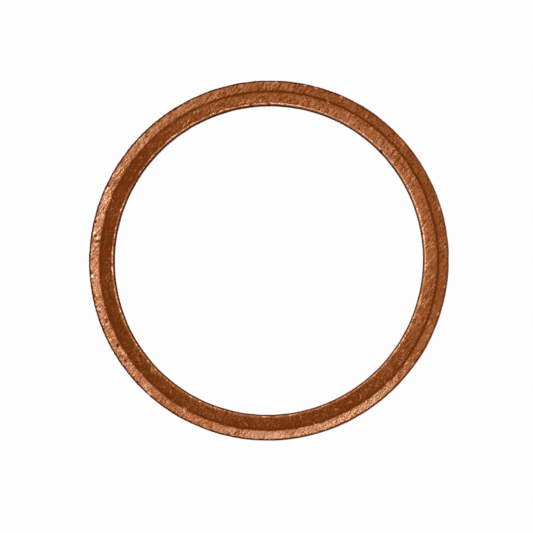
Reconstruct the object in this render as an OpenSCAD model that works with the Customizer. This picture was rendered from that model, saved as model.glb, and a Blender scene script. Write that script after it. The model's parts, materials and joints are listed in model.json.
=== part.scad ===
// Copper sealing ring. It is blanked from rolled sheet and pressed into a shallow V,
// so that a groove runs round its upper face and a rounded ridge round its underside.

/* [Ring] */
// Diameter of the bore, which passes over the screw thread
bore_d = 42; // [12:1:120]
// Radial width of the inner leaf, from the bottom of the groove in to the bore
inner_leaf_w = 2; // [1.6:0.1:4]
// Radial width of the outer leaf, from the bottom of the groove out to the rim
outer_leaf_w = 1.5; // [1.4:0.1:4]

/* [Sheet] */
// Thickness of the copper sheet, square to its surface
sheet_t = 1; // [0.8:0.05:1.4]
// Depth of the groove below the crests of the two lips
groove_depth = 0.5; // [0.2:0.05:0.6]
// Radius at the bottom of the groove, on the inside of the bend
groove_r = 0.15; // [0.05:0.05:0.3]

/* [Edges] */
// Radius that the piercing punch rolls onto the upper edge of the bore
bore_roll_r = 0.35; // [0.1:0.05:0.4]
// Radius that the blanking die rolls onto the lower edge of the rim
rim_roll_r = 0.3; // [0.1:0.05:0.4]
// Radius of the small break on the two edges where the sheet sheared off
edge_break_r = 0.08; // [0.02:0.02:0.12]

/* [Hidden] */

// Facets round the ring, and chords along each arc of its section
$fn = 180;
ARC_CHORDS = 8;
COPPER = [0.69, 0.42, 0.26];

bore_r = bore_d / 2;
groove_line_r = bore_r + inner_leaf_w;
rim_r = groove_line_r + outer_leaf_w;
ring_h = sheet_t + groove_depth;

// The groove and the ridge below it are arcs about one centre, a sheet's thickness
// apart, and the ridge rests at z = 0
ridge_r = groove_r + sheet_t;
bend_c = [groove_line_r, ridge_r];

// Centres of the arcs that form the two upper lips
bore_roll_c = [bore_r + bore_roll_r, ring_h - bore_roll_r];
rim_break_c = [rim_r - edge_break_r, ring_h - edge_break_r];

// Each leaf rises from the bend at the slope of its flank, which runs straight from
// the groove's arc to the lip's
inner_slope = flank_slope(bore_roll_c, bore_roll_r);
outer_slope = flank_slope(rim_break_c, edge_break_r);

// Centres of the arcs along the two lower edges
bore_break_c = lower_arc_centre(bore_r + edge_break_r, edge_break_r, inner_slope);
rim_roll_c = lower_arc_centre(rim_r - rim_roll_r, rim_roll_r, outer_slope);

// Slope of the line that crosses from the underside of the groove's arc to the upper
// side of a lip's arc, touching both
function flank_slope(lip_c, lip_r) =
    let (reach = [abs(lip_c.x - bend_c.x), lip_c.y - bend_c.y])
    atan2(reach.y, reach.x) + asin((groove_r + lip_r) / norm(reach));

// Centre, at radius x of the ring, of an arc that touches a leaf's underside from within
function lower_arc_centre(x, arc_r, slope) =
    [x, bend_c.y + abs(x - bend_c.x) * tan(slope) - (ridge_r - arc_r) / cos(slope)];

// Points of an arc about a centre, from one angle to another
function arc(centre, radius, from, to) = [
    for (i = [0:ARC_CHORDS])
        let (angle = from + (to - from) * i / ARC_CHORDS)
        centre + radius * [cos(angle), sin(angle)]
];

// Outline of the section, from the foot of the bore's wall over the lips and back
// along the underside
function section_outline() = concat(
    arc(bore_break_c, edge_break_r, 270 - inner_slope, 180),
    arc(bore_roll_c, bore_roll_r, 180, 90 - inner_slope),
    arc(bend_c, groove_r, 270 - inner_slope, 270 + outer_slope),
    arc(rim_break_c, edge_break_r, 90 + outer_slope, 0),
    arc(rim_roll_c, rim_roll_r, 0, outer_slope - 90),
    arc(bend_c, ridge_r, 270 + outer_slope, 270 - inner_slope)
);

module sealing_ring() {
    color(COPPER)
    rotate_extrude()
        polygon(section_outline());
}

sealing_ring();
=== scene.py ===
import json
import math
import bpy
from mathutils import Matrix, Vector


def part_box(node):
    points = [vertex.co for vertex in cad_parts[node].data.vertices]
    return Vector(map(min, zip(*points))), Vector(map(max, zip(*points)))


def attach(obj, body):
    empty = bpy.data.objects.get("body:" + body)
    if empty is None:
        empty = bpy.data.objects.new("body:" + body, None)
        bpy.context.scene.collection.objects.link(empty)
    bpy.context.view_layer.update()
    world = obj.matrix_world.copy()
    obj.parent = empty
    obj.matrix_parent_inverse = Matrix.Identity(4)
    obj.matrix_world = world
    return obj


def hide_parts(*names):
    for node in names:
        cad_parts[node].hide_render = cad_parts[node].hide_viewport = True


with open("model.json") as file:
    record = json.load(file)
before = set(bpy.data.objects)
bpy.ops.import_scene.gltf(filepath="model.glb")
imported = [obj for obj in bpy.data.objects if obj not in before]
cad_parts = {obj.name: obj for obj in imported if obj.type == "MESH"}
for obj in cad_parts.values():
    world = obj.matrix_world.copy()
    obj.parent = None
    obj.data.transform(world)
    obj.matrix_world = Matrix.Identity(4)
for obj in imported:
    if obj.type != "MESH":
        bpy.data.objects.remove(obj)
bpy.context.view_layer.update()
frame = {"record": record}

from types import SimpleNamespace

import bpy
import numpy as np
from mathutils import Vector

mm = 0.001

# What the frame says of the ring, in metres
mounts = {mount["name"]: mount for mount in frame["record"]["mounts"]}
lowCorner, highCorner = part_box("sealing_ring")
boreRadius = mounts["bore"]["dims"]["r_mm"] * mm
grooveRadius = mounts["ridge_seat"]["pos_m"][0]  # the groove lies right above the ridge
lipRadius = mounts["lip_seat"]["pos_m"][0]  # crest of the rolled lip beside the bore
rimRadius = max(highCorner[0], highCorner[1])
ringHeight = highCorner[2] - lowCorner[2]
print("frame: bore %.2f, rim %.2f, height %.2f mm" % (boreRadius / mm, rimRadius / mm, ringHeight / mm))

# The ring's section: rounds joined by straight tangents

ringShape = {
    "sheet": 1.0 * mm,  # thickness of the copper
    "bendRadius": 0.15 * mm,  # inside of the bend, at the bottom of the groove
    "rimRoll": 0.30 * mm,  # round of the rim's lower edge
    "edgeBreak": 0.08 * mm,  # round of the two sheared edges
    "segments": 1200,  # steps round the ring
    # points on each round, and on the straight that follows it
    "steps": {"boreFoot": (4, 5), "boreLip": (10, 18), "groove": (5, 16),
              "rimLip": (4, 4), "rimFoot": (5, 2), "ridge": (7, 2)},
    "crowding": 0.6,  # how far the points of a straight gather at its ends
}


def arcStretch(centre, radius, fromDegrees, toDegrees, side, count):
    # centre + radius * (cos a, sin a); the normal points out of the circle, or in for side -1
    angle = np.radians(np.linspace(fromDegrees, toDegrees, count))
    outward = np.stack([np.cos(angle), np.sin(angle)], axis=1)
    return np.asarray(centre) + radius * outward, side * outward


def lineStretch(start, end, count, crowding):
    # start + t * (end - start) for t between 0 and 1, ends left out and steps shorter
    # towards them; the normal is to the left
    even = np.linspace(0, 1, count + 2)[1:-1, None]
    along = even - crowding * np.sin(2 * math.pi * even) / (2 * math.pi)
    step = np.asarray(end) - np.asarray(start)
    left = np.array([-step[1], step[0]]) / np.hypot(*step)
    return np.asarray(start) + along * step, np.repeat(left[None], count, axis=0)


def flankSlope(bend, lip, radiusSum):
    # angle of the line that touches the groove's arc from below and the lip's from above
    reach = abs(lip[0] - bend[0]), lip[1] - bend[1]
    return math.atan2(reach[1], reach[0]) + math.asin(radiusSum / math.hypot(*reach))


def footCentre(radius, roundRadius, slope, bend, ridge):
    # centre, at a given radius, of a round that touches the underside from within
    rise = abs(radius - bend[0]) * math.tan(slope) - (ridge - roundRadius) / math.cos(slope)
    return radius, bend[1] + rise


def ringSection(shape):
    # Closed outline in (radius, height), from the foot of the bore's wall over the lips
    # and back along the underside, with its outward normals
    edge, bendRadius = shape["edgeBreak"], shape["bendRadius"]
    ridge = bendRadius + shape["sheet"]
    bend = grooveRadius, ridge
    boreRoll = lipRadius - boreRadius
    boreLip = lipRadius, ringHeight - boreRoll
    rimLip = rimRadius - edge, ringHeight - edge
    inner = flankSlope(bend, boreLip, bendRadius + boreRoll)
    outer = flankSlope(bend, rimLip, bendRadius + edge)
    boreFoot = footCentre(boreRadius + edge, edge, inner, bend, ridge)
    rimFoot = footCentre(rimRadius - shape["rimRoll"], shape["rimRoll"], outer, bend, ridge)
    innerDegrees, outerDegrees = math.degrees(inner), math.degrees(outer)
    # centre, radius, first and last angle, and the side that the normals are on
    rounds = {
        "boreFoot": (boreFoot, edge, 270 - innerDegrees, 180, 1),
        "boreLip": (boreLip, boreRoll, 180, 90 - innerDegrees, 1),
        "groove": (bend, bendRadius, 270 - innerDegrees, 270 + outerDegrees, -1),
        "rimLip": (rimLip, edge, 90 + outerDegrees, 0, 1),
        "rimFoot": (rimFoot, shape["rimRoll"], 0, outerDegrees - 90, 1),
        "ridge": (bend, ridge, 270 + outerDegrees, 270 - innerDegrees, 1),
    }
    names = list(rounds)
    arcs = {name: arcStretch(*rounds[name], shape["steps"][name][0]) for name in names}
    points, normals = [], []
    for name, following in zip(names, names[1:] + names[:1]):
        arcPoints, arcNormals = arcs[name]
        nextPoint, lineCount = arcs[following][0][0], shape["steps"][name][1]
        linePoints, lineNormals = lineStretch(arcPoints[-1], nextPoint, lineCount, shape["crowding"])
        points += [arcPoints, linePoints]
        normals += [arcNormals, lineNormals]
    return np.concatenate(points), np.concatenate(normals)


# What rolling, punching and handling left on the copper, and the light and shade painted into its film

ringWear = {
    "seed": 11,
    "grainDegrees": 51.5,  # direction of the rolled grain, from +X towards +Y
    "grainWaves": 56,  # waves that are added up for the grain
    "grainPitch": (0.28 * mm, 0.9 * mm),  # spacing of the furrows
    "grainLength": 3.0 * mm,
    "grainDepth": 0.0022 * mm,
    "buckleDepth": 0.010 * mm,  # slow unevenness round the ring
    "burrHeight": 0.022 * mm,  # along the rim's sheared edge
    "burrWidth": 0.12 * mm,
    "tearDepth": 0.018 * mm,  # how far the torn part of each wall stands back
    "tearing": 0.5,  # how unevenly it does so
    "tornBore": (0.68, 0.60),  # shares of the height where the torn part starts and is full
    "tornRim": (0.70, 0.78),
    "outOfRound": (0.007 * mm, 0.009 * mm),  # of the bore and the rim
    "boreEdge": (0.10, 0.0),  # shares of the way across where this starts and is full
    "rimEdge": (0.88, 1.0),
    # dents in the rim: azimuth and spread in degrees, and depth; a minus depth stands out
    "rimDents": ((321, 2.5, 0.030 * mm), (332, 3.5, -0.030 * mm), (143, 2.5, 0.028 * mm),
                 (311, 2.5, 0.015 * mm), (246, 3.0, 0.015 * mm)),
    "smallPits": 70,
    "pitMargins": (0.4 * mm, 0.15 * mm),  # left free of them beside the bore and the rim
    "pitWidth": (0.06 * mm, 0.12 * mm),
    "pitDepth": (0.005 * mm, 0.02 * mm),
    "pitDirt": 0.6,
    "markDirt": 2.3,  # times the dirt that a listed pit is given
    "burrShine": 0.6,  # how far a listed raised burr is rubbed clean
    "faceLean": 1 / 3,  # upward part of the normal from which a point is all face
    "wallLean": (0.35, 0.60),  # outward part of it where a wall starts and is full
    # waves round the ring: the fewest and the most in one turn
    "waves": {"buckle": (2, 9), "tear": (150, 420), "burr": (20, 260), "edge": (7, 70),
              "wander": (8, 90), "patchy": (12, 140), "ragged": (12, 300)},
    # masks by the way from bore to rim: the share rubbed clean, how thin the brown film is,
    # and how strongly the streaks and the mottling show; the first two also paint a highlight
    # along the lip and shade in the groove's crease
    "across": (0.0, 0.055, 0.105, 0.155, 0.50, 0.56, 0.605, 0.645, 0.92, 1.0),
    "rubbedAndLight": (0.15, 0.38, 0.26, -0.12, -0.25, -0.40, -0.30, 0.42, 0.46, 0.30),
    "thinnessAndLight": (0.40, 0.75, 0.60, 0.14, 0.07, -0.15, -0.10, 0.70, 0.75, 0.90),
    "streaked": (0.70, 0.70, 0.70, 0.46, 0.42, 0.40, 0.60, 0.85, 0.85, 0.85),
    "mottled": (0.50, 0.50, 0.50, 0.68, 0.68, 0.50, 0.50, 0.44, 0.44, 0.44),
    # painted shade in lines round the ring, in the groove's crease, along the bore's lip and along
    # the rim's edge: place and half width as shares of the way across, depth, how far the line
    # wanders, and how unevenly it darkens
    "shadeLines": {
        "groove": {"place": 0.580, "halfWidth": 0.038, "depth": 0.20, "ragged": 0.009, "patchy": 0.10},
        "bore": {"place": 0.016, "halfWidth": 0.026, "depth": 0.88, "ragged": 0.0, "patchy": 0.0},
        "rim": {"place": 0.965, "halfWidth": 0.032, "depth": 1.05, "ragged": 0.009, "patchy": 0.0},
    },
    "wallShade": (0.75, 0.25),  # painted shade on the walls of the bore and the rim
    "wander": 0.006,  # how far the film at the groove wanders, as a share of the way across
    "drift": (320, 26, 0.03),  # azimuth, spread and size of a bulge in it
    "driftRange": (0.45, 0.80),  # shares of the way across between which both count
}

# Slow changes round the ring, partly wear and partly painted light and shade: thinner film
# and more bare copper where the flanks face the lamps, thicker film where they face away, and
# the lip's painted highlight and shade line varied in strength. Azimuth and spread in degrees,
# the first and last share of the way across, and the changes to the masks
filmAndLightPatches = [
    # the lip beside the bore
    (80, 75, 0.00, 0.05, {"dirtAndShade": 0.25}),
    (65, 60, 0.00, 0.12, {"rubbedAndLight": 0.22, "thinnessAndLight": 0.20, "streaked": -0.05, "mottled": 0.05}),
    (118, 22, 0.00, 0.13, {"streaked": 0.35, "mottled": 0.40}),
    (245, 70, 0.00, 0.05, {"dirtAndShade": 0.20}),
    (40, 36, 0.04, 0.06, {"rubbedAndLight": -0.25, "thinnessAndLight": -0.35}),
    (52, 24, 0.06, 0.08, {"rubbedAndLight": 0.15, "thinnessAndLight": 0.20}),
    (325, 30, 0.04, 0.06, {"rubbedAndLight": -0.20, "thinnessAndLight": -0.25}),
    (150, 42, 0.04, 0.075, {"rubbedAndLight": 0.06, "thinnessAndLight": 0.12}),
    (150, 42, 0.08, 0.12, {"rubbedAndLight": -0.20, "thinnessAndLight": -0.34}),
    (62, 16, 0.08, 0.12, {"rubbedAndLight": -0.10, "thinnessAndLight": -0.12}),
    (340, 40, 0.00, 0.13, {"rubbedAndLight": 0.18}),
    (7, 9, 0.00, 0.13, {"rubbedAndLight": 0.20, "thinnessAndLight": 0.08, "streaked": -0.10}),
    (352, 9, 0.00, 0.13, {"rubbedAndLight": -0.12, "mottled": -0.15}),
    (82, 9, 0.00, 0.13, {"rubbedAndLight": 0.20, "thinnessAndLight": 0.26, "streaked": 0.20, "mottled": 0.20}),
    (126, 8, 0.00, 0.13, {"rubbedAndLight": 0.22, "thinnessAndLight": 0.36}),
    (148, 13, 0.00, 0.13, {"rubbedAndLight": -0.14, "thinnessAndLight": -0.18, "mottled": -0.10}),
    (174, 8, 0.00, 0.13, {"rubbedAndLight": 0.12, "thinnessAndLight": 0.20, "streaked": -0.10}),
    (200, 10, 0.00, 0.13, {"rubbedAndLight": 0.10, "thinnessAndLight": 0.16, "mottled": -0.10}),
    (190, 22, 0.00, 0.13, {"rubbedAndLight": 0.03, "thinnessAndLight": 0.08, "mottled": -0.10}),
    (245, 48, 0.00, 0.13, {"rubbedAndLight": -0.17, "thinnessAndLight": -0.16}),
    # from the lip to the inner flank
    (115, 60, 0.12, 0.20, {"rubbedAndLight": -0.20, "thinnessAndLight": -0.38}),
    (358, 14, 0.10, 0.15, {"thinnessAndLight": 0.26}),
    (4, 9, 0.15, 0.22, {"thinnessAndLight": 0.24}),
    (100, 30, 0.16, 0.21, {"rubbedAndLight": 0.05, "thinnessAndLight": 0.22}),
    (126, 9, 0.09, 0.14, {"rubbedAndLight": -0.10, "thinnessAndLight": -0.16}),
    (181, 15, 0.09, 0.16, {"rubbedAndLight": -0.13, "thinnessAndLight": -0.22}),
    # inner flank
    # from about 345 to 100 degrees the inner flank faces the lamps: its thinner film and extra bare
    # copper there are partly painted light
    (38, 42, 0.13, 0.54, {"rubbedAndLight": 0.32}),
    (45, 62, 0.13, 0.54, {"thinnessAndLight": 0.49, "streaked": 0.55}),
    (105, 18, 0.13, 0.54, {"thinnessAndLight": 0.10, "streaked": 0.60, "mottled": 0.20}),
    (140, 20, 0.13, 0.54, {"thinnessAndLight": -0.08, "streaked": 0.20}),
    (165, 16, 0.13, 0.54, {"mottled": -0.14}),
    (186, 26, 0.13, 0.54, {"mottled": -0.22}),
    (217, 9, 0.13, 0.54, {"thinnessAndLight": -0.10}),
    (252, 22, 0.13, 0.54, {"thinnessAndLight": 0.08, "streaked": -0.20}),
    (285, 14, 0.13, 0.54, {"thinnessAndLight": -0.04, "mottled": -0.10}),
    (143, 9, 0.13, 0.54, {"thinnessAndLight": -0.16, "streaked": -0.10, "mottled": -0.20}),
    (305, 10, 0.13, 0.54, {"thinnessAndLight": -0.07}),
    (354, 14, 0.13, 0.54, {"streaked": -0.16, "mottled": -0.26}),
    (337, 24, 0.13, 0.54, {"rubbedAndLight": 0.04, "thinnessAndLight": 0.12, "streaked": 0.40}),
    # outer flank
    # from about 0 to 100 degrees the outer flank faces away from the lamps: thicker film and less bare
    # copper there are partly painted shade, and the paler film at about 97 degrees is painted light
    # where bare copper would reflect no lamp
    (30, 75, 0.60, 1.00, {"rubbedAndLight": -0.56, "thinnessAndLight": -0.36, "streaked": -0.25, "mottled": 0.22}),
    (20, 50, 0.90, 1.00, {"dirtAndShade": -0.45}),
    (97, 26, 0.60, 1.00, {"rubbedAndLight": -0.52, "thinnessAndLight": 0.14, "streaked": 0.70, "mottled": 0.25}),
    (134, 24, 0.60, 1.00, {"rubbedAndLight": -0.12, "thinnessAndLight": 0.20, "streaked": 0.20}),
    (178, 26, 0.60, 1.00, {"rubbedAndLight": 0.02, "thinnessAndLight": 0.05, "streaked": -0.12, "mottled": -0.03}),
    (225, 42, 0.60, 1.00, {"rubbedAndLight": -0.10, "streaked": -0.15, "mottled": 0.05}),
    (82, 16, 0.60, 1.00, {"rubbedAndLight": -0.16, "thinnessAndLight": -0.10, "streaked": -0.06}),
    (125, 10, 0.60, 1.00, {"rubbedAndLight": 0.13, "thinnessAndLight": 0.08}),
    (172, 8, 0.60, 1.00, {"rubbedAndLight": 0.09, "thinnessAndLight": 0.04, "mottled": -0.10}),
    (186, 9, 0.60, 1.00, {"rubbedAndLight": -0.02, "streaked": -0.32, "mottled": 0.06}),
    (239, 13, 0.60, 1.00, {"rubbedAndLight": -0.20, "thinnessAndLight": -0.07}),
    (264, 10, 0.60, 1.00, {"rubbedAndLight": 0.09, "thinnessAndLight": 0.03}),
    (307, 9, 0.60, 1.00, {"rubbedAndLight": 0.12, "thinnessAndLight": 0.05}),
    (298, 26, 0.60, 1.00, {"rubbedAndLight": 0.14, "thinnessAndLight": 0.14, "streaked": -0.30, "mottled": -0.06}),
    (336, 13, 0.60, 1.00, {"rubbedAndLight": -0.16, "thinnessAndLight": 0.03}),
]

# Listed pits and nicks: azimuth in degrees, radius, width and depth in mm, and how much
# dirt each one holds. A minus depth is a raised burr.
ringMarks = [
    # on the outer flank
    (0.9, 23.88, 0.14, 0.035, 0.45),
    (5.2, 23.02, 0.22, -0.030, 0.0),
    (134.6, 23.80, 0.15, 0.035, 0.50),
    (154.9, 24.12, 0.13, 0.040, 0.55),
    (156.2, 24.00, 0.14, -0.030, 0.0),
    (167.4, 24.20, 0.13, 0.040, 0.60),
    (171.3, 23.98, 0.11, -0.030, 0.0),
    (171.9, 23.85, 0.15, 0.050, 0.62),
    (172.8, 23.58, 0.10, -0.025, 0.0),
    (173.4, 23.30, 0.12, 0.030, 0.50),
    (173.6, 23.46, 0.11, 0.030, 0.42),
    (173.7, 23.66, 0.12, 0.030, 0.62),
    (174.3, 23.45, 0.12, -0.030, 0.0),
    (179.6, 24.02, 0.13, 0.030, 0.45),
    (184.2, 24.12, 0.12, 0.040, 0.55),
    (191.7, 24.22, 0.14, 0.040, 0.60),
    (199.4, 23.50, 0.12, -0.025, 0.0),
    (200.2, 23.42, 0.15, 0.045, 0.60),
    (200.9, 23.58, 0.13, 0.035, 0.60),
    (209.4, 23.50, 0.15, 0.060, 0.85),
    (209.9, 23.62, 0.13, 0.040, 0.60),
    (215.3, 23.74, 0.15, 0.045, 0.80),
    (223.2, 24.25, 0.15, 0.040, 0.75),
    # on the inner flank
    (207.2, 21.95, 0.12, 0.030, 0.50),
    # on the lip
    (9.3, 21.14, 0.16, 0.045, 0.80),
    (43.6, 21.12, 0.22, 0.060, 0.95),
    (89.8, 21.20, 0.14, 0.045, 0.80),
    (96.4, 21.20, 0.16, 0.050, 0.90),
    (177.8, 21.22, 0.11, -0.035, 0.0),
    (183.9, 21.22, 0.11, -0.035, 0.0),
    (185.2, 21.26, 0.10, -0.035, 0.0),
    (240.8, 21.30, 0.16, -0.035, 0.0),
    (244.5, 21.34, 0.15, -0.035, 0.0),
]

# Listed scratches and bright specks: azimuth and radius of each end in degrees and mm,
# half width in mm, and the change to the share rubbed clean and to the thin film
ringScratches = [
    # on the outer flank
    (3.8, 24.00, 4.1, 24.02, 0.11, 0.0, 1.2),
    (16.1, 24.20, 16.8, 24.22, 0.12, 0.0, 1.3),
    (40.2, 24.10, 41.8, 24.20, 0.16, 0.0, 0.7),
    (55.4, 23.64, 55.6, 23.70, 0.12, 0.0, 1.1),
    (65.6, 24.26, 65.9, 24.28, 0.13, 0.2, 1.5),
    (70.1, 23.45, 68.9, 22.80, 0.11, 0.1, 0.9),
    (74.2, 24.26, 74.6, 24.28, 0.13, 0.2, 1.5),
    (77.8, 24.24, 78.1, 24.26, 0.12, 0.2, 1.4),
    (87.2, 24.26, 87.7, 24.26, 0.13, 0.2, 1.4),
    # the specks at 169.5 and 228.2 degrees are painted highlights, glints of the lamps
    (169.5, 24.08, 171.2, 24.10, 0.12, 0.5, 0.5),
    (171.8, 23.49, 173.0, 23.67, 0.085, 0.5, 0.5),
    (185.0, 24.16, 185.3, 24.18, 0.12, 0.8, 0.8),
    (228.2, 24.24, 228.9, 24.26, 0.15, 0.9, 1.4),
    (241.6, 23.62, 240.5, 23.05, 0.12, 0.3, 1.2),
    (324.1, 24.14, 324.4, 24.18, 0.13, 0.5, 0.9),
    (342.0, 24.20, 342.3, 24.22, 0.12, 0.0, 1.2),
    (350.9, 24.20, 351.1, 24.22, 0.12, 0.0, 1.4),
    # on the inner flank
    (163.6, 21.66, 162.6, 21.58, 0.10, 0.0, 0.8),
    (188.9, 22.60, 192.0, 22.02, 0.10, 0.0, -0.5),
    (192.6, 22.20, 195.4, 21.70, 0.11, 0.0, -0.6),
    (216.8, 22.14, 217.9, 22.20, 0.12, 0.0, 1.1),
    (219.0, 22.36, 219.2, 22.40, 0.12, 0.0, 1.0),
    (222.9, 21.55, 223.9, 21.90, 0.11, 0.0, 1.2),
    (223.6, 21.56, 225.3, 21.70, 0.10, 0.0, 1.0),
    (230.6, 22.26, 230.8, 22.30, 0.12, 0.0, 0.9),
    (233.4, 22.10, 234.1, 22.36, 0.10, 0.0, 0.9),
    (248.2, 21.62, 250.6, 21.98, 0.11, -0.2, -0.8),
    (262.0, 22.30, 263.2, 22.62, 0.10, 0.0, 1.0),
    (294.4, 22.20, 295.4, 22.44, 0.10, 0.0, 1.0),
    (299.6, 22.24, 300.6, 22.40, 0.10, 0.0, 1.0),
    (304.0, 22.62, 304.6, 22.30, 0.10, 0.0, 0.8),
    (307.0, 22.10, 307.3, 22.14, 0.12, 0.0, 1.1),
    (309.2, 21.96, 309.5, 22.02, 0.11, 0.0, 1.0),
    (334.8, 21.55, 338.2, 22.35, 0.10, 0.0, 0.7),
    (350.6, 21.50, 354.6, 22.55, 0.11, 0.0, 0.7),
    (357.5, 21.60, 361.3, 22.60, 0.11, 0.0, 0.6),
    # on the lip
    (176.9, 21.38, 177.4, 21.40, 0.12, 0.5, 1.0),
    (182.3, 21.42, 183.3, 21.40, 0.12, 0.5, 1.0),
]


def ramp(value, start, full):
    # 0 at the start, 1 where it is full, straight between them and held beyond
    return np.clip((value - start) / (full - start), 0, 1)


def waveSum(x, y, vectors, phases):
    # sum of cos(k . p + phase) over the waves, scaled to a spread of 1
    turns = x[..., None] * vectors[:, 0] + y[..., None] * vectors[:, 1] + phases
    return np.cos(turns).sum(axis=-1) / math.sqrt(len(phases) / 2)


def rolledGrain(x, y, wear, rng):
    # waves whose crests run near the rolling direction, with random pitch and phase
    angle = math.radians(wear["grainDegrees"])
    low, high = wear["grainPitch"]
    count = wear["grainWaves"]
    across = 2 * math.pi / rng.uniform(low, high, count) * rng.choice([-1, 1], count)
    along = rng.normal(0, 2 * math.pi / wear["grainLength"], count)
    vectors = np.stack([
        along * math.cos(angle) - across * math.sin(angle),
        along * math.sin(angle) + across * math.cos(angle),
    ], axis=1)
    return waveSum(x, y, vectors, rng.uniform(0, 2 * math.pi, count))


def roundWaves(azimuth, orders, rng):
    # sum of cos(n a + phase) for whole n between two orders, so that it closes on itself;
    # a column with one value for each azimuth, scaled to a spread of 1
    first, last = orders
    counts = np.arange(first, last + 1)
    phases = rng.uniform(0, 2 * math.pi, len(counts))
    waves = np.cos(azimuth[:, None] * counts + phases).sum(axis=1) / math.sqrt(len(counts) / 2)
    return waves[:, None]


def azimuthBell(azimuth, centre, spread):
    # exp(-(turn / spread)^2) by the turn from the centre in degrees, as a column
    turn = (np.degrees(azimuth) - centre + 180) % 360 - 180
    return np.exp(-(turn / spread) ** 2)[:, None]


def planPoint(azimuth, radius):
    # radius * (cos a, sin a): where a place lies in the plan
    return radius * np.cos(azimuth), radius * np.sin(azimuth)


def roundBells(azimuth, radius, width, grid):
    # one bell exp(-(distance / width)^2) per mark, by the distance to its place in the plan
    centreX, centreY = planPoint(azimuth, radius)
    distance = (grid.x[..., None] - centreX) ** 2 + (grid.y[..., None] - centreY) ** 2
    return np.exp(-distance / width ** 2)


def scratchBells(start, end, width, grid):
    # one bell exp(-(distance / width)^2) per scratch, by the distance to the straight
    # stretch between its two ends
    stepX, stepY = end[0] - start[0], end[1] - start[1]
    fromX, fromY = grid.x[..., None] - start[0], grid.y[..., None] - start[1]
    along = np.clip((fromX * stepX + fromY * stepY) / (stepX ** 2 + stepY ** 2), 0, 1)
    distance = (fromX - along * stepX) ** 2 + (fromY - along * stepY) ** 2
    return np.exp(-distance / width ** 2)


def plainRing(shape, wear):
    # The section turned to every azimuth: grids of azimuth by outline point, and how far
    # each outline point faces up, faces down or belongs to a wall
    outline, normal = ringSection(shape)
    azimuth = np.arange(shape["segments"]) * (2 * math.pi / shape["segments"])
    cosine, sine = np.cos(azimuth)[:, None], np.sin(azimuth)[:, None]
    return SimpleNamespace(
        azimuth=azimuth, cosine=cosine, sine=sine,
        radius=outline[:, 0], height=outline[:, 1], outward=normal[:, 0], upward=normal[:, 1],
        x=outline[:, 0] * cosine, y=outline[:, 0] * sine,
        across=(outline[:, 0] - boreRadius) / (rimRadius - boreRadius),
        boreSide=outline[:, 0] < grooveRadius,
        facingUp=ramp(normal[:, 1], 0, wear["faceLean"]),
        facingDown=ramp(-normal[:, 1], 0, wear["faceLean"]),
        wall=ramp(np.abs(normal[:, 0]), *wear["wallLean"]))


def rolledRelief(grid, wear, rng):
    # grain on both faces, worn off where the underside stands out, and a slow unevenness
    upper = wear["grainDepth"] * rolledGrain(grid.x, grid.y, wear, rng)
    lower = wear["grainDepth"] * np.minimum(rolledGrain(grid.x, grid.y, wear, rng), 0)
    buckle = wear["buckleDepth"] * roundWaves(grid.azimuth, wear["waves"]["buckle"], rng)
    return (upper + buckle) * grid.facingUp + lower * grid.facingDown


def shearedRelief(grid, wear, rng):
    # torn part of each wall, below the polished band in the bore and above it on the rim,
    # and the burr along the rim's sheared edge
    share = (grid.height - grid.height.min()) / ringHeight
    torn = np.where(grid.boreSide, ramp(share, *wear["tornBore"]), ramp(share, *wear["tornRim"]))
    tearing = 1 + wear["tearing"] * roundWaves(grid.azimuth, wear["waves"]["tear"], rng)
    away = (grid.radius - rimRadius) ** 2 + (grid.height - ringHeight) ** 2
    burr = np.clip(roundWaves(grid.azimuth, wear["waves"]["burr"], rng), 0, None)
    raised = wear["burrHeight"] * np.exp(-away / wear["burrWidth"] ** 2) * burr
    return raised - wear["tearDepth"] * torn * grid.wall * tearing


def pitRelief(grid, marks, wear, rng):
    # pits, large ones listed and small ones by chance: their relief, the dirt they hold,
    # and how far the raised ones are rubbed clean
    azimuth, radius, width, depth, held = np.array(marks).T
    bells = roundBells(np.radians(azimuth), radius * mm, width * mm, grid)
    relief = -(bells * depth * mm).sum(axis=-1) * grid.facingUp
    dirtAndShadeColour = wear["markDirt"] * (bells * held).sum(axis=-1) * grid.facingUp
    shine = wear["burrShine"] * (bells * (depth < 0)).sum(axis=-1) * grid.facingUp
    count = wear["smallPits"]
    besideBore, besideRim = wear["pitMargins"]
    pitRadius = rng.uniform(boreRadius + besideBore, rimRadius - besideRim, count)
    pitWidth = rng.uniform(*wear["pitWidth"], count)
    pitBells = roundBells(rng.uniform(0, 2 * math.pi, count), pitRadius, pitWidth, grid)
    relief = relief - (pitBells * rng.uniform(*wear["pitDepth"], count)).sum(axis=-1)
    dirtAndShadeColour = np.clip(dirtAndShadeColour + wear["pitDirt"] * pitBells.sum(axis=-1), 0, 1)
    return relief, dirtAndShadeColour, shine


def edgeShift(grid, wear):
    # how far each point moves outwards, because neither edge is quite round
    rng = np.random.default_rng(wear["seed"] + 2)
    boreShift, rimShift = [
        size * roundWaves(grid.azimuth, wear["waves"]["edge"], rng) for size in wear["outOfRound"]]
    for centre, spread, depth in wear["rimDents"]:
        rimShift = rimShift - depth * azimuthBell(grid.azimuth, centre, spread)
    atBore, atRim = ramp(grid.across, *wear["boreEdge"]), ramp(grid.across, *wear["rimEdge"])
    return boreShift * atBore + rimShift * atRim


def patched(grid, patches, mask):
    # sum of change * bell over the patches that reach this share of the way across
    total = np.zeros(grid.x.shape)
    for centre, spread, first, last, changes in patches:
        within = (grid.across > first) & (grid.across <= last)
        total += changes.get(mask, 0) * azimuthBell(grid.azimuth, centre, spread) * within
    return total


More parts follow.
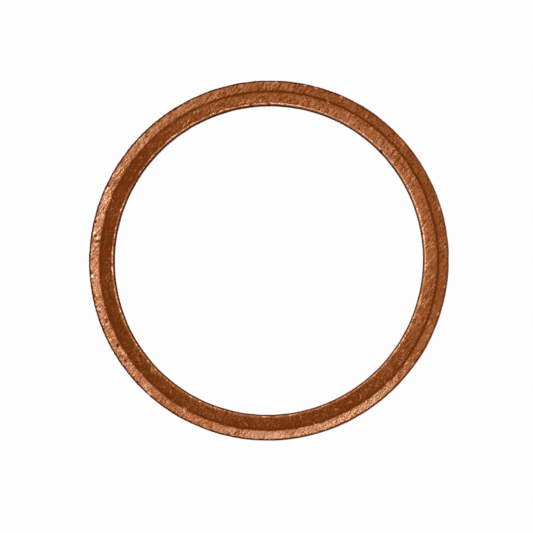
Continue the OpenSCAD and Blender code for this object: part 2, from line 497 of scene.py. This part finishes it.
def dirtAndShadeMask(grid, place, pitDirt, patchy, wear, patches, rng):
    # the most of the pits' dirt, the walls' painted shade, and depth * exp(-(away / half width)^4)
    # at each painted shade line
    dirtAndShade = pitDirt
    change = patched(grid, patches, "dirtAndShade")
    for line in wear["shadeLines"].values():
        ragged = line["ragged"] * roundWaves(grid.azimuth, wear["waves"]["ragged"], rng)
        away = (place - line["place"] - ragged) / line["halfWidth"]
        depth = line["depth"] + change + line["patchy"] * patchy
        dirtAndShade = np.maximum(dirtAndShade, depth * np.exp(-away ** 4) * grid.facingUp)
    boreWall, rimWall = wear["wallShade"]
    return np.maximum(dirtAndShade, grid.wall * np.where(grid.boreSide, boreWall, rimWall))


def filmMasks(grid, pitDirt, shine, wear, scratches, patches, rng):
    # each mask = its profile from bore to rim + its patches + what pits and scratches add
    startAzimuth, startRadius, endAzimuth, endRadius, width, rubbing, thinning = np.array(scratches).T
    start = planPoint(np.radians(startAzimuth), startRadius * mm)
    end = planPoint(np.radians(endAzimuth), endRadius * mm)
    scratched = scratchBells(start, end, width * mm, grid) * grid.facingUp[:, None]
    grooveRng = np.random.default_rng(wear["seed"] + 1)
    centre, spread, size = wear["drift"]
    drift = size * azimuthBell(grid.azimuth, centre, spread)
    drift = drift + wear["wander"] * roundWaves(grid.azimuth, wear["waves"]["wander"], grooveRng)
    patchy = roundWaves(grid.azimuth, wear["waves"]["patchy"], grooveRng)
    first, last = wear["driftRange"]
    place = grid.across - drift * ((grid.across > first) & (grid.across < last))
    masks = {"dirtAndShade": dirtAndShadeMask(grid, place, pitDirt, patchy, wear, patches, rng)}
    across = {"rubbedAndLight": place, "thinnessAndLight": place, "streaked": grid.across, "mottled": grid.across}
    for name, where in across.items():
        masks[name] = np.interp(where, wear["across"], wear[name]) + patched(grid, patches, name)
    masks["rubbedAndLight"] += shine + scratched @ rubbing
    masks["thinnessAndLight"] += scratched @ thinning
    masks["dirtAndShade"] *= 1 - np.clip((scratched * (thinning > 0)).sum(axis=-1), 0, 1)
    return masks


def wornRing(shape, wear, marks, scratches, patches):
    # Position = section turned by the azimuth, moved along its normal by the relief and
    # outwards by the edges' shift. Returns positions on a grid of azimuth by outline point,
    # and masks for the material.
    grid = plainRing(shape, wear)
    rng = np.random.default_rng(wear["seed"])
    relief = rolledRelief(grid, wear, rng) + shearedRelief(grid, wear, rng)
    pits, pitDirt, shine = pitRelief(grid, marks, wear, rng)
    relief = relief + pits
    distance = grid.radius + grid.outward * relief + edgeShift(grid, wear)
    height = grid.height + grid.upward * relief
    position = np.stack([distance * grid.cosine, distance * grid.sine, height], axis=-1)
    return position, filmMasks(grid, pitDirt, shine, wear, scratches, patches, rng)


def closedGrid(name, position, masks):
    # Quads between neighbours of a grid that closes on itself both ways, wound so that
    # outline step x azimuth step points out of the solid
    rows, columns = position.shape[:2]
    corner = np.arange(rows * columns).reshape(rows, columns)
    nextRow, nextColumn = np.roll(corner, -1, axis=0), np.roll(corner, -1, axis=1)
    diagonal = np.roll(nextRow, -1, axis=1)
    quads = np.stack([corner, nextColumn, diagonal, nextRow], axis=-1).reshape(-1, 4)
    mesh = bpy.data.meshes.new(name)
    mesh.vertices.add(rows * columns)
    mesh.vertices.foreach_set("co", position.astype(np.float32).ravel())
    mesh.loops.add(quads.size)
    mesh.loops.foreach_set("vertex_index", quads.astype(np.int32).ravel())
    mesh.polygons.add(len(quads))
    mesh.polygons.foreach_set("loop_start", np.arange(0, quads.size, 4, dtype=np.int32))
    mesh.polygons.foreach_set("use_smooth", np.ones(len(quads), dtype=bool))
    mesh.update(calc_edges=True)
    mesh.validate()
    for maskName, values in masks.items():
        attribute = mesh.attributes.new(maskName, "FLOAT", "POINT")
        attribute.data.foreach_set("value", np.ascontiguousarray(values, dtype=np.float32).ravel())
    piece = bpy.data.objects.new(name, mesh)
    bpy.context.scene.collection.objects.link(piece)
    return piece


# Node helpers and shared node groups


def addNode(tree, kind, inputs=None, **settings):
    # the inputs are values, or outputs of other nodes that are then linked
    node = tree.nodes.new(kind)
    for key, value in settings.items():
        setattr(node, key, value)
    for key, value in (inputs or {}).items():
        if isinstance(value, bpy.types.NodeSocket):
            tree.links.new(value, node.inputs[key])
        else:
            node.inputs[key].default_value = value
    return node


def calculate(tree, operation, first, second=0.0, third=0.0):
    inputs = {0: first, 1: second, 2: third}
    return addNode(tree, "ShaderNodeMath", inputs, operation=operation).outputs[0]


def between(tree, value, low, high, toLow=0.0, toHigh=1.0):
    # value carried from low..high to toLow..toHigh, and held at the ends
    inputs = {"Value": value, "From Min": low, "From Max": high, "To Min": toLow, "To Max": toHigh}
    return addNode(tree, "ShaderNodeMapRange", inputs, clamp=True).outputs["Result"]


def mixColours(tree, factor, first, second, blend="MIX"):
    # a Mix node's colours are its inputs 6 and 7, and the mixed colour its output 2
    inputs = {0: factor, 6: first, 7: second}
    return addNode(tree, "ShaderNodeMix", inputs, data_type="RGBA", blend_type=blend).outputs[2]


def newGroup(name, inputs, output):
    # the inputs are names with their defaults, where a tuple is a vector
    tree = bpy.data.node_groups.new(name, "ShaderNodeTree")
    for socketName, value in inputs.items():
        kind = "NodeSocketVector" if isinstance(value, tuple) else "NodeSocketFloat"
        socket = tree.interface.new_socket(name=socketName, in_out="INPUT", socket_type=kind)
        socket.default_value = value
    tree.interface.new_socket(name=output, in_out="OUTPUT", socket_type="NodeSocketFloat")
    return tree, addNode(tree, "NodeGroupInput").outputs, addNode(tree, "NodeGroupOutput")


def useGroup(tree, group, inputs):
    return addNode(tree, "ShaderNodeGroup", inputs, node_tree=group).outputs[0]


def streakGroup():
    # noise stretched along one direction in the plan: a mask that rises between two levels
    defaults = {"Vector": (0.0, 0.0, 0.0), "Angle": 0.0, "Length": 2.0, "Width": 0.2,
                "Shift": 0.0, "Low": 0.4, "High": 0.6}
    tree, given, result = newGroup("streaks", defaults, "Mask")
    turned = addNode(tree, "ShaderNodeVectorRotate", {
        "Vector": given["Vector"], "Angle": calculate(tree, "MULTIPLY", given["Angle"], -1.0),
    }, rotation_type="Z_AXIS").outputs[0]
    size = addNode(tree, "ShaderNodeCombineXYZ", {
        "X": given["Length"], "Y": given["Width"], "Z": 1.0}).outputs[0]
    scaled = addNode(tree, "ShaderNodeVectorMath", {0: turned, 1: size}, operation="DIVIDE").outputs[0]
    shift = addNode(tree, "ShaderNodeCombineXYZ", {
        "X": given["Shift"], "Y": given["Shift"], "Z": given["Shift"]}).outputs[0]
    moved = addNode(tree, "ShaderNodeVectorMath", {0: scaled, 1: shift}, operation="ADD").outputs[0]
    noise = addNode(tree, "ShaderNodeTexNoise", {
        "Vector": moved, "Scale": 1.0, "Detail": 2.0, "Roughness": 0.5}).outputs["Fac"]
    tree.links.new(between(tree, noise, given["Low"], given["High"]), result.inputs["Mask"])
    return tree


def blotchGroup():
    # even noise of a given size: a mask that rises between two levels
    defaults = {"Vector": (0.0, 0.0, 0.0), "Size": 1.0, "Shift": 0.0, "Low": 0.4, "High": 0.6}
    tree, given, result = newGroup("blotches", defaults, "Mask")
    scale = calculate(tree, "DIVIDE", 1.0, given["Size"])
    noise = addNode(tree, "ShaderNodeTexNoise", {
        "Vector": given["Vector"], "W": given["Shift"], "Scale": scale, "Detail": 3.0, "Roughness": 0.6,
    }, noise_dimensions="4D").outputs["Fac"]
    tree.links.new(between(tree, noise, given["Low"], given["High"]), result.inputs["Mask"])
    return tree


def speckGroup():
    # one round speck in a share of the cells of a scattered grid
    defaults = {"Vector": (0.0, 0.0, 0.0), "Spacing": 1.0, "Size": 0.2, "Share": 0.3, "Shift": 0.0}
    tree, given, result = newGroup("specks", defaults, "Mask")
    scale = calculate(tree, "DIVIDE", 1.0, given["Spacing"])
    cells = addNode(tree, "ShaderNodeTexVoronoi", {
        "Vector": given["Vector"], "W": given["Shift"], "Scale": scale}, voronoi_dimensions="4D")
    away = calculate(tree, "MULTIPLY", cells.outputs["Distance"], given["Spacing"])
    dot = between(tree, away, given["Size"], 0.0)
    chance = addNode(tree, "ShaderNodeSeparateColor", {"Color": cells.outputs["Color"]}).outputs[0]
    chosen = calculate(tree, "LESS_THAN", chance, given["Share"])
    tree.links.new(calculate(tree, "MULTIPLY", dot, chosen), result.inputs["Mask"])
    return tree


# The copper's finish

copperLook = {
    "clean": (0.92, 0.52, 0.315, 1),  # bare copper, where handling keeps it bright
    # the paler ends of the film also paint light on the lip and on the sides that face the lamps, and
    # its thick end paints shade in the groove and on the sides that face away
    "paleFilm": (1.00, 0.48, 0.255, 1),  # brown film over the rest, from a haze to thick
    "thinFilm": (0.80, 0.262, 0.080, 1),
    "oliveFilm": (0.250, 0.062, 0.003, 1),
    "redFilm": (0.305, 0.047, 0.004, 1),
    "dirtAndShadeColour": (0.112, 0.017, 0.003, 1),  # dirt in the pits, and painted shade in the groove's crease, along the lip and the rim, and on the torn walls
    "yellowTint": (0.98, 1.055, 0.93, 1),  # hue of the thin film and the clean copper by patches
    "redTint": (1.03, 0.93, 1.06, 1),
    "cleanRoughness": 0.38,
    "filmRoughness": 0.50,
    "dirtAndShadeRoughness": 0.85,
    "filmMetallic": 0.10,
    "filmGloss": 0.05,
    "bumpDepth": 0.040 * mm,
    "markBump": 0.12,  # share of the bump in each kind of mark
    "mottlingBump": 0.15,
    "cleanRange": (0.25, 0.75),  # rubbed share where bare copper starts and is full
    "paleRange": (1.0, 1.4),  # thinness where the film starts to be a haze and is one
    "tintRange": (0.0, 0.8),  # thinness where the tints start to show and are full
    "thinSwing": 1.2,  # how far the marks swing the film's thinness, against the clean share
    "tarnishSwing": -0.14,  # how far tarnish and glints swing the clean share
    "glintSwing": 0.6,
    "brokenRange": (0.5, 1.5),  # how strongly the marks show where they are weak and strong
    "chipRange": (0.3, 1.0),  # how strongly chips show outside a cluster and in one
    "chipFilm": (0.0, 0.7, 1.4, 0.2),  # from which thinness to which, and how strongly at each
}

# Marks in the copper's film: length and width in mm, turn from the rolled grain in
# radians, and how far each one swings the clean share. A shift only sets one pattern apart
# from the next.
copperMarks = {
    "coarseStreaks": {"Length": 1.2, "Width": 0.34, "turn": 0.03, "Shift": 0.0, "swing": 0.08},
    "fineStreaks": {"Length": 1.1, "Width": 0.17, "turn": 0.03, "Shift": 7.0, "swing": 0.50},
    "crossStreaks": {"Length": 0.8, "Width": 0.17, "turn": 0.50, "Shift": 3.0, "swing": 0.30},
    "scratches": {"Length": 0.55, "Width": 0.14, "turn": -0.30, "Shift": 11.0, "swing": 0.32},
}
markLevels = {"Low": 0.36, "High": 0.64}

# Blotches in it, with their sizes in mm, and single bright specks
copperBlotches = {
    "mottling": {"Size": 0.21, "Low": 0.35, "High": 0.65},
    "tarnish": {"Size": 3.5, "Shift": 5.0, "Low": 0.38, "High": 0.66},
    "broken": {"Size": 1.7, "Shift": 13.0, "Low": 0.35, "High": 0.65},
    "chips": {"Size": 0.36, "Shift": 21.0, "Low": 0.62, "High": 0.71},
    "clusters": {"Size": 2.2, "Shift": 25.0, "Low": 0.38, "High": 0.62},
    "redness": {"Size": 1.1, "Shift": 9.0, "Low": 0.35, "High": 0.65},
    "tinge": {"Size": 0.8, "Shift": 17.0, "Low": 0.38, "High": 0.62},
}
copperGlints = {"Spacing": 0.7, "Size": 0.12, "Share": 0.36}


def swung(tree, start, swings):
    # start + the sum of weight * (mask - 0.5)
    total = start
    for mask, weight in swings:
        part = calculate(tree, "MULTIPLY_ADD", mask, weight, -0.5 * weight)
        total = calculate(tree, "ADD", total, part)
    return total


def surfaceMasks(tree):
    # one mask over the surface for each kind of mark, blotch and speck
    streaks, blotches, specks = streakGroup(), blotchGroup(), speckGroup()
    place = addNode(tree, "ShaderNodeTexCoord").outputs["Object"]
    perMm = (1 / mm,) * 3
    inMm = addNode(tree, "ShaderNodeVectorMath", {0: place, 1: perMm}, operation="MULTIPLY").outputs[0]
    grain = math.radians(ringWear["grainDegrees"])
    masks = {"glints": useGroup(tree, specks, {"Vector": inMm, **copperGlints})}
    for name, mark in copperMarks.items():
        sizes = {key: mark[key] for key in ("Length", "Width", "Shift")}
        angle = grain + mark["turn"]
        masks[name] = useGroup(tree, streaks, {"Vector": inMm, "Angle": angle, **sizes, **markLevels})
    for name, sizes in copperBlotches.items():
        masks[name] = useGroup(tree, blotches, {"Vector": inMm, **sizes})
    return masks


def markSwing(tree, look, masks, thinnessAndLight, streaked, mottled):
    # how far the marks move the film towards clean or thick: they show less in some places
    # than in others, glints are on top of them, and chips gather where the film is thick
    marks = [(masks[name], mark["swing"]) for name, mark in copperMarks.items()]
    marked = calculate(tree, "MULTIPLY", swung(tree, 0.0, marks), streaked)
    cloudy = calculate(tree, "MULTIPLY", swung(tree, 0.0, [(masks["mottling"], 1.0)]), mottled)
    marked = swung(tree, marked, [(masks["tarnish"], look["tarnishSwing"])])
    marked = calculate(tree, "ADD", marked, cloudy)
    strength = between(tree, masks["broken"], 0.0, 1.0, *look["brokenRange"])
    marked = calculate(tree, "MULTIPLY", marked, strength)
    marked = calculate(tree, "MULTIPLY_ADD", masks["glints"], look["glintSwing"], marked)
    chips = between(tree, masks["clusters"], 0.0, 1.0, *look["chipRange"])
    chips = calculate(tree, "MULTIPLY", masks["chips"], chips)
    return calculate(tree, "MULTIPLY_ADD", chips, between(tree, thinnessAndLight, *look["chipFilm"]), marked)


def filmColour(tree, look, masks, clean, thinnessAndLight, dirtAndShade):
    # brown film by its thinness over bare copper, tinted in patches, and dirt and painted shade
    # on top; the thinness also carries painted light and shade
    thick = mixColours(tree, masks["redness"], look["oliveFilm"], look["redFilm"])
    film = mixColours(tree, between(tree, thinnessAndLight, 0.0, 1.0), thick, look["thinFilm"])
    film = mixColours(tree, between(tree, thinnessAndLight, *look["paleRange"]), film, look["paleFilm"])
    colour = mixColours(tree, clean, film, look["clean"])
    tint = mixColours(tree, masks["tinge"], look["yellowTint"], look["redTint"])
    colour = mixColours(tree, between(tree, thinnessAndLight, *look["tintRange"]), colour, tint, "MULTIPLY")
    return mixColours(tree, dirtAndShade, colour, look["dirtAndShadeColour"])


def brownedCopper(look):
    # clean copper where the rubbed share and the marks say so, brown film over the rest; both
    # masks also carry painted light and shade
    material = bpy.data.materials.new("brownedCopper")
    material.use_nodes = True
    tree = material.node_tree
    shader = tree.nodes["Principled BSDF"]
    shader.inputs["Specular IOR Level"].default_value = look["filmGloss"]
    rubbedAndLight, thinnessAndLight, dirtAndShade, streaked, mottled = [
        addNode(tree, "ShaderNodeAttribute", attribute_name=name).outputs["Fac"]
        for name in ("rubbedAndLight", "thinnessAndLight", "dirtAndShade", "streaked", "mottled")]
    masks = surfaceMasks(tree)
    marked = markSwing(tree, look, masks, thinnessAndLight, streaked, mottled)
    clean = between(tree, calculate(tree, "ADD", rubbedAndLight, marked), *look["cleanRange"])
    clean = calculate(tree, "MULTIPLY", clean, calculate(tree, "SUBTRACT", 1.0, dirtAndShade))
    thinnessAndLight = calculate(tree, "MULTIPLY_ADD", marked, look["thinSwing"], thinnessAndLight)
    tree.links.new(filmColour(tree, look, masks, clean, thinnessAndLight, dirtAndShade), shader.inputs["Base Color"])
    rough = between(tree, clean, 0.0, 1.0, look["filmRoughness"], look["cleanRoughness"])
    rough = addNode(tree, "ShaderNodeMix", {0: dirtAndShade, 2: rough, 3: look["dirtAndShadeRoughness"]}).outputs[0]
    tree.links.new(rough, shader.inputs["Roughness"])
    tree.links.new(between(tree, clean, 0.0, 1.0, look["filmMetallic"], 1.0), shader.inputs["Metallic"])
    bumps = [(masks[name], look["markBump"]) for name in copperMarks]
    bumps.append((masks["mottling"], look["mottlingBump"]))
    bump = addNode(tree, "ShaderNodeBump", {
        "Height": swung(tree, 0.5, bumps), "Strength": 1.0, "Distance": look["bumpDepth"]})
    tree.links.new(bump.outputs["Normal"], shader.inputs["Normal"])
    return material


ringPosition, ringMasks = wornRing(ringShape, ringWear, ringMarks, ringScratches, filmAndLightPatches)
ring = closedGrid("copper_ring", ringPosition, ringMasks)
copper = brownedCopper(copperLook)
ring.data.materials.append(copper)
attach(ring, "root")
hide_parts("sealing_ring")
print("ring: %d faces, copper: %d nodes" % (len(ring.data.polygons), len(copper.node_tree.nodes)))

# Floor, light and camera

studio = {
    "floorSize": 3.0,
    "floorSides": 96,
    "floorColour": (0.86, 0.86, 0.86, 1),
    "floorRoughness": 0.9,
    "floorGlow": 0.97,  # share of the white that the camera sees whatever the shadow
    "horizon": 0.75,  # world strength at the horizon
    "overhead": 0.04,  # world strength above
    "horizonRange": (0.04, 0.30),  # upward part of a direction where it starts and ends to dim
}

# azimuth and elevation of each lamp in degrees, distance and width in metres
lamps = {
    "upperLamp": {"azimuth": 30, "elevation": 75, "distance": 0.7, "width": 0.30, "power": 1.75},
    "backLamp": {"azimuth": 120, "elevation": 60, "distance": 0.7, "width": 0.30, "power": 0.88},
    "frontLamp": {"azimuth": 318, "elevation": 48, "distance": 0.7, "width": 0.30, "power": 0.30},
}

cameraSet = {
    "distance": 0.35,  # metres
    "sensor": 36.0,  # mm
    "clip": (0.01, 10.0),
    "tilt": 7.0,  # degrees from straight above
    "towards": 320.0,  # azimuth that the camera leans to
    "ringWidthInPicture": 361.6,  # pixels across the ring's outside
    "ringOffset": (1.1, 7.0),  # pixels right and up from the middle of the picture
    "pictureSide": 533,  # pixels
}


def studioFloor(settings):
    # one wide flat face with its corners on a circle
    angle = np.linspace(0, 2 * math.pi, settings["floorSides"], endpoint=False)
    rim = np.stack([np.cos(angle), np.sin(angle), 0 * angle], axis=1) * settings["floorSize"]
    mesh = bpy.data.meshes.new("studioFloor")
    mesh.from_pydata(rim.tolist(), [], [list(range(len(rim)))])
    floor = bpy.data.objects.new("studioFloor", mesh)
    bpy.context.scene.collection.objects.link(floor)
    material = bpy.data.materials.new("palePaper")
    material.use_nodes = True
    tree = material.node_tree
    shader = tree.nodes["Principled BSDF"]
    shader.inputs["Base Color"].default_value = settings["floorColour"]
    shader.inputs["Roughness"].default_value = settings["floorRoughness"]
    shader.inputs["Specular IOR Level"].default_value = 0.0
    # the camera, reflections and glass see it nearly white, and the rest of the light as paper
    path = addNode(tree, "ShaderNodeLightPath").outputs
    seen = calculate(tree, "MAXIMUM", path["Is Camera Ray"], path["Is Glossy Ray"])
    seen = calculate(tree, "MAXIMUM", seen, path["Is Transmission Ray"])
    glow = addNode(tree, "ShaderNodeEmission", {"Color": (1, 1, 1, 1), "Strength": 1.0}).outputs[0]
    share = calculate(tree, "MULTIPLY", seen, settings["floorGlow"])
    mixed = addNode(tree, "ShaderNodeMixShader", {0: share, 1: shader.outputs[0], 2: glow}).outputs[0]
    tree.links.new(mixed, tree.nodes["Material Output"].inputs["Surface"])
    mesh.materials.append(material)


def studioWorld(settings):
    # pale at the horizon and dimmer overhead, by the height of the ray's direction
    world = bpy.data.worlds.new("studioWorld")
    bpy.context.scene.world = world
    world.use_nodes = True
    tree = world.node_tree
    direction = addNode(tree, "ShaderNodeTexCoord").outputs["Generated"]
    upward = addNode(tree, "ShaderNodeSeparateXYZ", {0: direction}).outputs["Z"]
    levels = settings["horizon"], settings["overhead"]
    strength = between(tree, upward, *settings["horizonRange"], *levels)
    background = tree.nodes["Background"]
    background.inputs["Color"].default_value = (1, 1, 1, 1)
    tree.links.new(strength, background.inputs["Strength"])


def aimedRotation(direction):
    # turns local +Z onto the direction by the shortest way, so that +Y stays up in the picture
    return Vector((0, 0, 1)).rotation_difference(direction)


def directionFrom(azimuth, elevation):
    # unit vector towards an azimuth and an elevation in degrees
    a, e = math.radians(azimuth), math.radians(elevation)
    return Vector((math.cos(a) * math.cos(e), math.sin(a) * math.cos(e), math.sin(e)))


def softLamp(name, settings):
    # a disc of light that faces the middle of the ring
    light = bpy.data.lights.new(name, "AREA")
    light.shape = "DISK"
    light.size = settings["width"]
    light.energy = settings["power"]
    lamp = bpy.data.objects.new(name, light)
    direction = directionFrom(settings["azimuth"], settings["elevation"])
    lamp.location = direction * settings["distance"]
    lamp.rotation_mode = "QUATERNION"
    lamp.rotation_quaternion = aimedRotation(direction)
    bpy.context.scene.collection.objects.link(lamp)


def pictureCamera(settings):
    # aimed beside the ring's middle, with the lens that gives its width in the picture
    data = bpy.data.cameras.new("pictureCamera")
    camera = bpy.data.objects.new("pictureCamera", data)
    bpy.context.scene.collection.objects.link(camera)
    pixel = 2 * rimRadius / settings["ringWidthInPicture"]
    data.sensor_width = settings["sensor"]
    data.lens = data.sensor_width * settings["distance"] / (pixel * settings["pictureSide"])
    data.clip_start, data.clip_end = settings["clip"]
    direction = directionFrom(settings["towards"], 90 - settings["tilt"])
    right, up = settings["ringOffset"]
    aim = Vector((-right * pixel, -up * pixel, ringHeight))
    camera.location = aim + direction * settings["distance"]
    camera.rotation_mode = "QUATERNION"
    camera.rotation_quaternion = aimedRotation(direction)
    bpy.context.scene.camera = camera


studioFloor(studio)
studioWorld(studio)
for lampName, lampSettings in lamps.items():
    softLamp(lampName, lampSettings)
pictureCamera(cameraSet)
bpy.context.scene.view_settings.view_transform = "Standard"
print("studio: floor, world, %d lamps and camera" % len(lamps))
